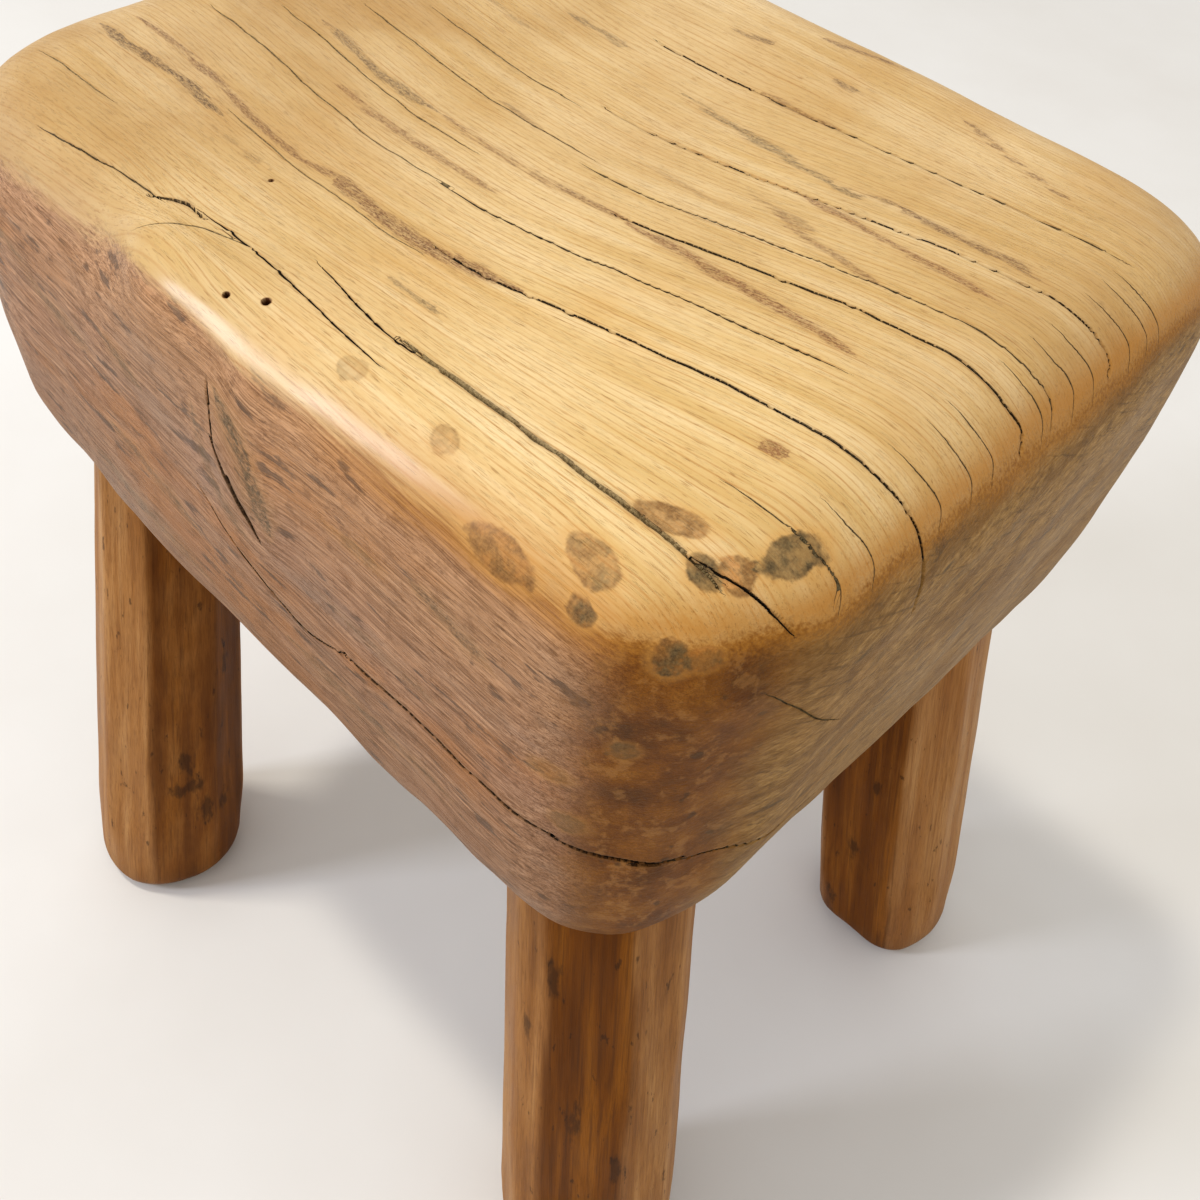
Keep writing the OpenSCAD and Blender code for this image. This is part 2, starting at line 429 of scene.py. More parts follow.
def streak_lines():
    """Every streak as (points, half width at each point, strength, greyness)."""
    lines = []
    for number, (path, half, strength, grey) in enumerate(STREAKS):
        line = wavering(path, 200 + number, STREAK_SPACING, 0.8, 0.0)
        run = np.linspace(0, 1, len(line))
        taper = smooth_step(np.minimum(run, 1 - run), 0, 0.2)
        half = half * (0.3 + 0.7 * taper) * (1 + 0.4 * noise(line, 12, 300 + number))
        lines.append((line, half, strength, grey))
    return lines


def line_marks(points, normals, lines, reach):
    """For each point, its nearest line: signed distance, closeness from 0 to 1, half width there,
    the line's two other numbers, and the direction across the line."""
    distance = np.full(len(points), float(reach))
    marks = np.zeros((len(points), 5))
    marks[:, 0] = reach
    marks[:, 2] = 1
    across_line = np.zeros((len(points), 3))
    for line, half, first, second in lines:
        low = line.min(axis=0) - reach
        high = line.max(axis=0) + reach
        chosen = np.nonzero(np.all((points > low) & (points < high), axis=1))[0]
        if not len(chosen):
            continue
        tangent = np.gradient(line, axis=0)
        tangent /= np.linalg.norm(tangent, axis=1, keepdims=True)
        for some in np.array_split(chosen, max(1, len(chosen) * len(line) // 4_000_000)):
            gap = points[some][:, None, :] - line[None]
            closest = np.argmin(np.einsum("ijk,ijk->ij", gap, gap), axis=1)
            offset = points[some] - line[closest]
            side = np.cross(tangent[closest], normals[some])
            side /= np.linalg.norm(side, axis=1, keepdims=True)
            across = np.sum(offset * side, axis=1)
            at_end = (closest == 0) | (closest == len(line) - 1)
            past_end = np.where(at_end, np.abs(np.sum(offset * tangent[closest], axis=1)), 0)
            total = np.hypot(across, past_end)
            closer = total < distance[some]
            here = some[closer]
            distance[here] = total[closer]
            marks[here, 0] = np.where(across[closer] < 0, -1, 1) * total[closer]
            marks[here, 1] = 1 - total[closer] / reach
            marks[here, 2] = half[closest][closer]
            marks[here, 3] = first
            marks[here, 4] = second
            across_line[here] = side[closer]
    return marks, across_line


def stain_marks(points):
    """For each point, its nearest stain: how far inside (1 in the middle, 0.5 at its edge, 0 well
    outside), how grey, how orange and how strong."""
    marks = np.zeros((len(points), 4))
    for middle, reach, turn, strength, grey, orange in STAINS:
        angle = math.radians(turn)
        away = points - np.array(middle)
        along = away[:, 0] * math.cos(angle) + away[:, 1] * math.sin(angle)
        across = away[:, 1] * math.cos(angle) - away[:, 0] * math.sin(angle)
        ratio = np.linalg.norm(np.stack([along, across, away[:, 2]], axis=1) / reach, axis=1)
        inside = np.clip(1 - ratio / 2, 0, 1)
        better = inside > marks[:, 0]
        marks[better, 0] = inside[better]
        marks[better, 1:] = grey, orange, strength
    return marks


def grain_at(points):
    """Along the grain, across it and depth, in millimetres, with the wander of the real fibres."""
    x, y, z = points.T
    across = y - grain_drift(x, y)
    # Fibres part round the knot on the front edge
    knot_x, knot_y = x + 40, y + 118
    near = np.exp(-((knot_x / 24) ** 2) - (knot_y / 14) ** 2)
    across = across + 5 * near * np.tanh(knot_y / 4)
    # On the front side they part round the split, and slope down to the right
    split = np.exp(-(((x - 10) / 22) ** 2) - ((z - 396) / 30) ** 2) * smooth_step(-y, 120, 134)
    depth = z + 0.10 * x + 7 * split * np.tanh((x - 8) / 7)
    return np.stack([x, across, depth], axis=1)


# ==== Meshes ====

def new_mesh(name, points, faces):
    mesh = bpy.data.meshes.new(name)
    mesh.from_pydata(points.tolist(), [], faces)
    return mesh


def add_object(name, data):
    """An object in the scene that holds a mesh, camera or light."""
    made = bpy.data.objects.new(name, data)
    bpy.context.scene.collection.objects.link(made)
    return made


def add_piece(name, mesh, material):
    """A smooth-shaded mesh object."""
    mesh.materials.append(material)
    mesh.shade_smooth()
    return add_object(name, mesh)


def store(mesh, name, *columns):
    """Keeps three numbers per point on a mesh, for its material to read."""
    layer = mesh.attributes.new(name, "FLOAT_VECTOR", "POINT")
    values = np.stack(np.broadcast_arrays(*columns), axis=1)
    layer.data.foreach_set("vector", values.astype(np.float32).ravel())


def box_shell(counts, half):
    """Points and square faces of a box's surface, `counts` squares along each axis."""
    index = {}
    points = []

    def corner(*at):
        if at not in index:
            index[at] = len(points)
            points.append([(2 * at[i] / counts[i] - 1) * half[i] for i in range(3)])
        return index[at]

    faces = []
    for axis in range(3):
        u, v = (axis + 1) % 3, (axis + 2) % 3
        for end in (0, counts[axis]):
            for i in range(counts[u]):
                for j in range(counts[v]):
                    ring = []
                    for du, dv in ((0, 0), (1, 0), (1, 1), (0, 1)):
                        at = [0, 0, 0]
                        at[axis], at[u], at[v] = end, i + du, j + dv
                        ring.append(corner(*at))
                    faces.append(ring if end else ring[::-1])
    return np.array(points), faces


def unit(vectors):
    return vectors / np.linalg.norm(vectors, axis=1, keepdims=True)


def nearest(points, marks):
    """Distance from each point to its nearest mark."""
    tree = KDTree(len(marks))
    for number, mark in enumerate(marks):
        tree.insert(mark, number)
    tree.balance()
    return np.array([tree.find(point)[2] for point in points])


def refine_near(bm, lines):
    """Splits the faces near cracks and holes, once for each distance in FINER_WITHIN."""
    marks = np.vstack([line for line, *_ in lines])
    wide = np.concatenate([half for _, half, *_ in lines])
    holes = np.array([middle for middle, _ in HOLES])
    for level, reach in enumerate(FINER_WITHIN):
        centres = np.array([face.calc_center_median()[:] for face in bm.faces])
        spots = drop_to_seat(on_seat(unit(centres - SEAT_CORE)))
        # The third round is for the wide cracks and the holes only
        near = nearest(spots, marks if level < 2 else marks[wide > 0.3]) < reach
        near |= nearest(spots, holes) < reach + 1.5
        edges = {edge for face, chosen in zip(bm.faces, near) if chosen for edge in face.edges}
        bmesh.ops.subdivide_edges(bm, edges=list(edges), cuts=1, use_grid_fill=True)


def snap_to_cracks(mesh, points, marks, across):
    """Slides points that are close to a crack's middle or wall exactly onto it."""
    ends = np.empty(len(mesh.edges) * 2, dtype=np.int32)
    mesh.edges.foreach_get("vertices", ends)
    ends = ends.reshape(-1, 2)
    length = np.linalg.norm(points[ends[:, 0]] - points[ends[:, 1]], axis=1)
    shortest = np.full(len(points), CRACK_REACH)
    np.minimum.at(shortest, ends[:, 0], length)
    np.minimum.at(shortest, ends[:, 1], length)
    away, closeness, half = marks[:, 0], marks[:, 1], marks[:, 2]
    reach = 0.5 * shortest
    to_middle = -away
    to_wall = np.sign(away) * half - away
    wide = half > 0.7 * shortest
    near_wall = wide & (np.abs(to_wall) < reach * 0.8)
    near_middle = ~near_wall & (np.abs(to_middle) < reach)
    shift = np.where(near_wall, to_wall, np.where(near_middle, to_middle, 0))
    shift = np.where((closeness > 0) & (shortest < 1.2), shift, 0)
    return points + across * shift[:, None]


def build_seat(material):
    """The block, with its cracks, holes and hewn sides."""
    shell, faces = box_shell(SHELL_COUNTS, SHELL_HALF)
    lines = crack_lines()
    mesh = new_mesh("shell", shell + SEAT_CORE, faces)
    bm = bmesh.new()
    bm.from_mesh(mesh)
    refine_near(bm, lines)
    bmesh.ops.triangulate(bm, faces=[face for face in bm.faces if len(face.verts) > 4])
    bm.to_mesh(mesh)
    bm.free()
    count = len(mesh.vertices)
    rough = np.empty(count * 3)
    mesh.vertices.foreach_get("co", rough)
    points = on_seat(unit(rough.reshape(-1, 3) - SEAT_CORE))
    normals = field_slope(points)
    marks, across = line_marks(points, normals, lines, CRACK_REACH)
    points = drop_to_seat(snap_to_cracks(mesh, points, marks, across))
    normals = field_slope(points)
    marks, _ = line_marks(points, normals, lines, CRACK_REACH)
    away, closeness, half, depth, dark = marks.T
    ratio = away / half
    # A groove with softly worn lips
    slot = np.sqrt(np.clip(1 - np.abs(ratio), 0, 1))
    lips = np.exp(-np.maximum(np.abs(away) - half, 0) / 0.8) * (closeness > 0)
    sink = slot * depth * np.minimum(1, half / 0.45) + 0.12 * lips * np.minimum(half, 1)
    hole_depth = np.zeros(count)
    for middle, radius in HOLES:
        centre = drop_to_seat(np.array([middle], float))[0]
        away_hole = np.linalg.norm(points - centre, axis=1) / radius
        hole_depth = np.maximum(hole_depth, np.clip(2 - away_hole, 0, 1))
        sink = np.maximum(sink, 4.0 * np.sqrt(np.clip(1 - away_hole**2, 0, 1)))
    # Low ridges of harder wood between the growth rings
    grain = grain_at(points)
    top_zone = smooth_step(normals[:, 2], 0.35, 0.7)
    ridge = noise(grain * np.array([0.05, 1, 0.3]), 3.4, 5)
    moved = points - normals * (sink + 0.08 * ridge * top_zone)[:, None]
    mesh.vertices.foreach_set("co", (moved * MM).ravel())
    mesh.update()
    streaks, _ = line_marks(points, normals, streak_lines(), STREAK_REACH)
    streak_ratio = np.minimum(np.abs(streaks[:, 0]) / streaks[:, 2], FAR_STREAK)
    from_corner = np.hypot(points[:, 0] - CORNER_LINE[0], points[:, 1] - CORNER_LINE[1])
    corner = 1 - smooth_step(from_corner, 6, 44)
    store(mesh, "crack", np.clip(ratio, -FAR_CRACK, FAR_CRACK), closeness, dark)
    store(mesh, "streak", streak_ratio, streaks[:, 3] * (streaks[:, 1] > 0), streaks[:, 4])
    inside, grey, orange, strength = stain_marks(points).T
    store(mesh, "stain", inside, grey, orange)
    store(mesh, "grain", *grain.T)
    store(mesh, "zone", normals[:, 2], normals[:, 0], corner)
    store(mesh, "hole", hole_depth, -normals[:, 1], strength)
    return add_piece("seat_block", mesh, material)


# Each leg: foot and shoulder centres, radius at foot and shoulder, then the edges between the
# flats shaved round it, as (direction in degrees, painted light and shade of the flat that follows,
# standing in for how much of the light each flat catches), and dark marks as (height, direction,
# reach up, reach round)
LEGS = {
    "leg_front_right": dict(
        foot=(156, -114), top=(119, -91), foot_r=39.5, top_r=32.8, seed=1,
        flats=[(-140, 0.7), (-105, 0.5), (-80, 0.08), (-25, 0.6), (15, 0.85), (40, 0.3), (90, 0.5),
               (130, 0.2), (175, 0.6)],
        knots=[(235, -75, 12, 2.5), (150, -60, 14, 3), (195, -95, 7, 3), (120, -30, 9, 3)]),
    "leg_front_left": dict(
        foot=(-148, -132), top=(-123, -97), foot_r=39.5, top_r=28.0, seed=2,
        flats=[(-95, 0.7), (-50, 0.3), (5, 0.2), (50, 0.4), (100, 0.3), (145, 0.55), (190, 0.3), (230, 0.7)],
        knots=[(110, -20, 14, 4), (90, -20, 6, 9), (70, -5, 12, 4), (170, 20, 7, 3), (65, 15, 6, 5)]),
    "leg_back_right": dict(
        foot=(152, 127), top=(118, 94), foot_r=38.0, top_r=35.0, seed=3,
        flats=[(-170, 0.45), (-120, 0.15), (-50, 0.8), (-10, 0.75), (30, 0.4), (75, 0.2),
               (120, 0.5), (160, 0.3)],
        knots=[(90, -90, 9, 3), (30, -110, 8, 4), (150, -70, 7, 3)]),
    "leg_back_left": dict(
        foot=(-156, 132), top=(-121, 95), foot_r=39.0, top_r=32.0, seed=4,
        flats=[(-170, 0.5), (-130, 0.2), (-90, 0.35), (-40, 0.2), (5, 0.55), (50, 0.3),
               (100, 0.5), (140, 0.25)],
        knots=[(140, 120, 12, 4), (70, -150, 9, 4)]),
}
TENON_R = 24
TENON_LENGTH = 86
TENON_BEVEL = 2
FOOT_ROUND = 12
# How far a leg's shoulder is let into the seat, so that no gap shows
LEG_LET_IN = 0.6
LEG_POINTS_AROUND = 96
LEG_RINGS = 92


def leg_section(shape, angle, rise):
    """Distance from a leg's middle to its shaved surface, by direction and share of its height,
    with the painted light and shade of the flat there, and how close the edge between flats is, for
    a painted highlight along it."""
    angle, rise = np.broadcast_arrays(angle, rise)
    radius = shape["foot_r"] + (shape["top_r"] - shape["foot_r"]) * rise
    height = np.stack([np.full_like(rise, 3.7 * shape["seed"]), rise * 260, np.zeros_like(rise)], axis=-1)
    starts = shape["flats"]
    edges = [start + 3.5 * noise(height + 31 * number, 70, 7) for number, (start, _) in enumerate(starts)]
    sides = []
    for number in range(len(starts)):
        first = edges[number]
        last = edges[(number + 1) % len(starts)] + (360 if number == len(starts) - 1 else 0)
        half = np.radians((last - first) / 2)
        # A drawknife leaves each flat very slightly wavy along its length
        wave = 1 + 0.012 * noise(height + 57 * number, 38, 8)
        sides.append(np.cos(np.radians(angle - (first + last) / 2)) / (np.cos(half) * radius * wave))
    sides = np.array(sides)
    smooth = sides[0]
    for side in sides[1:]:
        smooth = smooth_max(smooth, side, 0.0012 + 0.008 * (1 - smooth_step(rise, 0, 0.22)))
    # Painted light and shade: how lit each flat is painted, blended from flat to flat
    weight = np.exp((sides - sides.max(axis=0)) / 0.0004)
    light = np.array([tone for _, tone in starts])
    tone = np.tensordot(light, weight / weight.sum(axis=0), axes=1)
    # Closeness to the edge between two flats, for a painted highlight along it
    ordered = np.sort(sides, axis=0)
    edge = np.exp(-(ordered[-1] - ordered[-2]) / 0.0006)
    return 1 / smooth, tone, edge


def build_leg(name, material):
    """One shaved leg, scribed to the seat at its top, with its tenon."""
    shape = LEGS[name]
    around = LEG_POINTS_AROUND
    foot = np.array([*shape["foot"], 0.0])
    top_z = SEAT_TOP - SEAT_DEPTH - UNDER_SLOPE * shape["top"][0]
    shoulder = np.array([*shape["top"], top_z])
    axis = (shoulder - foot) / np.linalg.norm(shoulder - foot)
    angle = np.linspace(0, 360, around, endpoint=False)
    turn = np.radians(angle)
    flat_out = np.stack([np.cos(turn), np.sin(turn), 0 * turn], axis=1)

    def centre_at(rise):
        return foot + np.outer(rise, shoulder - foot)

    def side_point(rise):
        rise = np.broadcast_to(rise, angle.shape).astype(float)
        return centre_at(rise) + flat_out * leg_section(shape, angle, rise)[0][:, None]

    # How far up each line of the leg runs before it meets the seat
    stop = search(around, 0.5, 1.3, lambda rise: seat_field(side_point(rise)) > -LEG_LET_IN)
    rings = []
    # Worn foot: a flat sole, then a quarter round
    for share in (0.0, 0.35, 0.7):
        ring = side_point(0.0)
        rings.append(foot + (ring - foot) * (share * (1 - FOOT_ROUND / shape["foot_r"])))
    for bend in np.radians([0, 15, 30, 45, 60, 75, 90]):
        wear = FOOT_ROUND * (1 + 0.35 * noise(flat_out * 30 + shape["seed"] * 50, 18, 3))
        height = wear * (1 - math.cos(bend))
        ring = side_point(height / shoulder[2])
        inward = wear * (1 - math.sin(bend))
        rings.append(ring - unit(ring - centre_at(height / shoulder[2])) * inward[:, None])
    lowest = (FOOT_ROUND * 1.4) / shoulder[2]
    for share in np.linspace(0, 1, LEG_RINGS)[1:]:
        rings.append(side_point(lowest + (stop - lowest) * share))
    # Shoulder, then the round tenon inside the seat
    side = np.cross(axis, [0, 1, 0])
    side /= np.linalg.norm(side)
    other = np.cross(axis, side)
    offset = rings[-1] - centre_at(stop)
    spin = np.arctan2(offset @ other, offset @ side)
    tenon_out = np.outer(np.cos(spin), side) + np.outer(np.sin(spin), other)
    neck = centre_at(stop) + tenon_out * TENON_R
    tenon_top = shoulder + axis * TENON_LENGTH
    inner = TENON_R - TENON_BEVEL
    rings += [(rings[-1] + neck) / 2, neck, tenon_top + tenon_out * TENON_R - axis * TENON_BEVEL]
    rings += [tenon_top + tenon_out * inner, tenon_top + tenon_out * inner / 2]
    rings[0] = rings[0][:1]
    points = np.vstack(rings + [tenon_top[None]])
    faces = []
    for j in range(around):
        faces.append([0, 1 + (j + 1) % around, 1 + j])
    for i in range(len(rings) - 2):
        row = 1 + i * around
        for j in range(around):
            k = (j + 1) % around
            faces.append([row + j, row + k, row + around + k, row + around + j])
    last = 1 + (len(rings) - 2) * around
    for j in range(around):
        faces.append([last + j, last + (j + 1) % around, len(points) - 1])
    mesh = new_mesh(name + "_shaved", points * MM, faces)
    relative = points - foot
    along = relative @ axis
    across = relative - np.outer(along, axis)
    store(mesh, "grain", along, across[:, 0], across[:, 1])
    rise = points[:, 2] / shoulder[2]
    offset = points - centre_at(rise)
    facing = np.degrees(np.arctan2(offset[:, 1], offset[:, 0]))
    # Painted light and shade of each flat, and closeness to the edges between flats
    _, tone, edge = leg_section(shape, facing, rise)
    knot = np.zeros(len(points))
    for at, direction, up, round_mm in shape["knots"]:
        turn_mm = np.radians((facing - direction + 180) % 360 - 180) * shape["foot_r"]
        knot = np.maximum(knot, 1 - np.hypot((points[:, 2] - at) / up, turn_mm / round_mm) / 2)
    store(mesh, "leg", tone, edge, knot)
    store(mesh, "lift", rise, shape["seed"], 0)
    return add_piece(name + "_shaved", mesh, material)


# ==== Materials ====

def paint(code):
    """A colour written as on a paint chart, such as "e1be82", in the renderer's linear values."""
    values = [int(code[i:i + 2], 16) / 255 for i in (0, 2, 4)]
    return tuple(v / 12.92 if v <= 0.04045 else ((v + 0.055) / 1.055) ** 2.4 for v in values) + (1.0,)


COAT_ROUGHNESS = 0.26


class Value:
    """What comes out of a shader node. Values can be added, subtracted and multiplied."""

    def __init__(self, shader, socket):
        self.shader = shader
        self.socket = socket

    def __add__(self, other):
        return self.shader.math("ADD", self, other)

    def __sub__(self, other):
        return self.shader.math("SUBTRACT", self, other)

    def __mul__(self, other):
        return self.shader.math("MULTIPLY", self, other)

    def __abs__(self):
        return self.shader.math("ABSOLUTE", self)


class Shader:
    """Short calls that add shader nodes to one material and link them."""

    def __init__(self, name):
        self.material = bpy.data.materials.new(name)
        self.material.use_nodes = True
        self.tree = self.material.node_tree
        self.tree.nodes.clear()

    def node(self, kind, inputs, output=0, **settings):
        """One node, its inputs fed, and the value that it gives."""
        made = self.tree.nodes.new("ShaderNode" + kind)
        for key, value in settings.items():
            setattr(made, key, value)
        for key, value in inputs.items():
            self.feed(made.inputs[key], value)
        return Value(self, made.outputs[output])

    def feed(self, socket, value):
        if isinstance(value, Value):
            self.tree.links.new(value.socket, socket)
        else:
            socket.default_value = paint(value) if isinstance(value, str) else value

    def attribute(self, name):
        return self.node("Attribute", {}, "Vector", attribute_name=name)

    def place(self):
        return self.node("TexCoord", {}, "Object")

    def parts(self, vector):
        first = self.node("SeparateXYZ", {0: vector})
        return [Value(self, output) for output in first.socket.node.outputs]

    def vector(self, how, a, b):
        return self.node("VectorMath", {0: a, 1: b}, operation=how)

    def turned(self, vector, degrees):
        """The vector turned about X."""
        inputs = {"Vector": vector, "Axis": (1, 0, 0), "Angle": math.radians(degrees)}
        return self.node("VectorRotate", inputs, rotation_type="AXIS_ANGLE")

    def noise(self, vector, scale, detail=2.0, rough=0.5):
        """Noise whose scale is one number, or one for each axis."""
        if isinstance(scale, tuple):
            vector = self.vector("MULTIPLY", vector, scale)
            scale = 1.0
        inputs = {"Vector": vector, "Scale": scale, "Detail": detail, "Roughness": rough}
        return self.node("TexNoise", inputs, "Fac")

    def math(self, how, a, b=0.0):
        return self.node("Math", {0: a, 1: b}, operation=how)

    def step(self, value, low, high, to_low=0.0, to_high=1.0):
        inputs = {"Value": value, "From Min": low, "From Max": high, "To Min": to_low, "To Max": to_high}
        return self.node("MapRange", inputs, interpolation_type="SMOOTHSTEP")

    def mix(self, share, a, b):
        """From a at share 0 to b at share 1; each is a value or a colour code."""
        inputs = {"Factor": share, 6: a, 7: b}
        return self.node("Mix", inputs, 2, data_type="RGBA")

    def tint(self, colour, *rows):
        """The colour, mixed by each row in turn towards the row's colour code, where its value
        rises from low to high, and by how much at most."""
        for value, low, high, most, code in rows:
            colour = self.mix(self.step(value, low, high) * most, colour, code)
        return colour

    def ramp(self, value, *stops):
        """Colour codes at given places, and blends between them."""
        made = self.node("ValToRGB", {0: value})
        elements = made.socket.node.color_ramp.elements
        while len(elements) < len(stops):
            elements.new(0.5)
        for element, (place, code) in zip(elements, stops):
            element.position = place
            element.color = paint(code)
        return made

    def finish(self, colour, roughness, height, bump_mm, shine=0.1, coat=0.0):
        bump = self.node("Bump", {"Strength": 1.0, "Distance": bump_mm * MM, "Height": height})
        inputs = {"Base Color": colour, "Roughness": roughness, "Normal": bump, "Specular IOR Level": shine,
                  "Coat Weight": coat, "Coat Roughness": COAT_ROUGHNESS}
        surface = self.node("BsdfPrincipled", inputs)
        out = self.tree.nodes.new("ShaderNodeOutputMaterial")
        self.feed(out.inputs[0], surface)
        return self.material


def seat_material():
    """Worn, waxed oak: honey top, browner hewn sides, end grain at the ends."""
    s = Shader("seat_oak")
    grain = s.attribute("grain")
    length, _, depth = s.parts(grain)
    crack_ratio, crack_near, crack_dark = s.parts(s.attribute("crack"))
    normal_z, normal_x, corner = s.parts(s.attribute("zone"))
    hole, facing_front, stain_strength = s.parts(s.attribute("hole"))
    place = s.place()

    # Noises shared by the zones: stretched ones follow the grain, counted per millimetre
    fibres = s.noise(grain, (0.05, 3, 3), 3, 0.7)
    coarse = s.noise(grain, (0.035, 1, 1), 3, 0.65)
    bands = s.noise(grain, (0.004, 0.16, 0.1), 2, 0.6)
    patches = s.noise(place, 22, 3, 0.55)
    broad = s.noise(place, 8, 2, 0.5)
    speckle = s.noise(place, 1100, 2, 0.7)
    mottle = s.noise(place, 160, 4, 0.7)

    honey = honey_colour(s, grain, fibres, bands, patches, broad)
    front = front_colour(s, grain, depth, fibres, coarse, patches, mottle)
    ends, slant = end_colour(s, place, patches, mottle)

    # Zones, with ragged borders
    border = (coarse * 0.5 + patches * 0.5 - 0.5) * 0.5
    top = s.step(normal_z + border, 0.46, 0.7)
    rim = s.step(normal_z + border, 0.22, 0.52)
    end = s.step(abs(normal_x) + border, 0.3, 0.85) * s.step(normal_x, -0.7, -0.2, 0.6, 1)
    sides = s.mix(end, front, ends)
    hewn = s.noise(place, 60, 4, 0.6) * 0.75 + coarse * 0.25
    corner_tone = s.ramp(hewn, (0.3, "4a2804"), (0.47, "6e3e06"), (0.58, "84500c"), (0.72, "a06c26"))
    corner_tone = s.tint(
        corner_tone,
        (fibres, 0.46, 0.62, 0.4, "4a2604"),
        (mottle, 0.52, 0.64, 0.35, "b8874c"),
    )
    nicks = s.noise(place, 130, 2, 0.5)
    corner_tone = s.tint(corner_tone, (nicks, 0.66, 0.72, 0.6, "34200c"))
    corner_share = corner + (patches - 0.5) * 0.6
    sides = s.mix(s.step(corner_share, 0.1, 0.95, 0, 0.9), sides, corner_tone)
    amber = s.mix(s.step(coarse, 0.3, 0.7), "93601f", "b07a30")
    near_front = s.step(length, 10, 90, 0, 0.9) * s.step(facing_front, 0.1, 0.4)
    at_end = s.math("MAXIMUM", s.math("MAXIMUM", end, corner), near_front)
    sides = s.mix(rim * at_end * 0.8, sides, amber)
    colour = s.mix(top, sides, honey)
    creeping = s.step(normal_z + border, 0.62, 1.06, 0.85, 0) * at_end * top
    colour = s.mix(creeping, colour, "b07a34")

    colour = add_streaks(s, colour, grain, speckle, s.parts(s.attribute("streak")))
    stain = [*s.parts(s.attribute("stain")), stain_strength]
    colour = add_stains(s, colour, place, mottle, speckle, stain)

    # Cracks: a dark line, partly dirt and partly painted shade in the gap, a stain beside it, and a fine
    # painted shadow on one side of the gritty ones
    fray = (speckle - 0.5) * 0.5
    away = abs(crack_ratio)
    line = s.step(away + fray, 0.75, 1.3, 1, 0) * s.step(crack_near, 0.79, 0.85)
    line = line * s.step(crack_dark, 0.4, 0.8, 0.75, 1)
    grit = s.mix(s.step(speckle, 0.35, 0.6), "54482e", "9c8a62")
    # Crack fill: pale grit in the gritty cracks, and in the others a near-black line, partly dirt and partly
    # painted shade in the gap
    crack_fill_and_shade = s.mix(s.step(crack_dark, 0.4, 0.9), grit, "120b05")
    # Painted shadow of one wall, on one side of the gritty cracks
    one_side = s.step(crack_ratio, 0.2, 0.8) * s.step(crack_dark, 0.5, 0.8, 1, 0)
    crack_fill_and_shade = s.mix(one_side * 0.8, crack_fill_and_shade, "1e170c")
    stained = s.step(away, 1, 3.2, 0.35, 0) * s.step(crack_near, 0.7, 0.85)
    colour = s.mix(stained, colour, "7a5a34")
    colour = s.mix(line, colour, crack_fill_and_shade)
    # Beetle holes: dark reddish brown inside, partly painted shade in the hole, fading out in a
    # reddish-brown ring round it
    colour = s.tint(
        colour,
        (hole, 0.72, 0.98, 1, "1c0f06"),
        (hole, 0.45, 0.75, 0.5, "6a3c16"),
    )

    pores = s.noise(grain, (0.12, 2.8, 1.2), 1, 0.5)
    height = coarse * 0.35 + fibres * 0.25 - s.step(pores, 0.6, 0.72) * 0.3
    rough_height = mottle * 0.9 + s.mix(end, fibres, slant) * 0.6
    height = s.mix(top, rough_height, height * 0.6) - line * 1.2
    # Hands and aprons have polished the long front edge
    worn = s.step(facing_front, 0.2, 0.55) * s.step(normal_z, 0.35, 0.6, 0, 0.42)
    worn = worn * s.step(length, 60, 120, 1, 0)
    roughness = s.step(patches, 0.3, 0.7, 0.38, 0.5) + line * 0.4
    return s.finish(colour, roughness, height, 0.5, shine=0.16, coat=worn)


def honey_colour(s, grain, fibres, bands, patches, broad):
    """The top: narrow growth rings, each a thin brown line, over pale honey wood."""
    length, across, _ = s.parts(grain)
    wander = s.noise(grain, (0.012, 0.06, 0), 2, 0.5)
    ring = across * 0.55 + wander * 3.2
    phase = abs(s.math("FRACT", ring) - 0.5)
    number = s.math("FLOOR", ring)
    along = s.vector("MULTIPLY", grain, (0.011, 0, 0))
    strength_at = s.vector("ADD", s.node("CombineXYZ", {0: number * 7.3}), along)
    strength = s.step(s.noise(strength_at, 1, 2, 0.6), 0.32, 0.7, 0.12, 1)
    dashes = s.noise(grain, (0.16, 2.2, 0.5), 2, 0.6)
    ring_line = s.step(phase, 0.02, 0.2, 1, 0) * strength * s.step(dashes, 0.3, 0.6, 0.45, 1)
    colour = s.ramp(bands, (0.32, "cbaa6e"), (0.5, "d4b67e"), (0.68, "dcc290"))
    colour = s.tint(
        colour,
        (patches, 0.5, 0.75, 0.3, "cf9f58"),
        (broad, 0.5, 0.7, 0.4, "e8cfa0"),
        (fibres, 0.45, 0.7, 0.28, "c4955a"),
    )
    colour = s.mix(ring_line * 0.72, colour, "a87438")
    flecks = s.noise(grain, (0.14, 2.6, 1), 1, 0.5)
    colour = s.tint(colour, (flecks, 0.62, 0.74, 0.5, "8a5c2c"))
    smudges = s.noise(grain, (0.02, 0.18, 0.1), 4, 0.7)
    colour = s.tint(colour, (smudges, 0.6, 0.76, 0.4, "a98858"))
    # Darker and duller towards the left end, the back and the right end, more so in patches
    dull = s.math("MAXIMUM", s.step(length, -150, 110, 0.62, 0), s.step(across, -80, 20, 0, 0.32))
    dull = dull + s.step(length, 110, 160) * 0.2
    dull = dull * s.step(patches, 0.2, 0.7, 0.6, 1.2)
    return s.mix(dull, colour, "a07c4c")


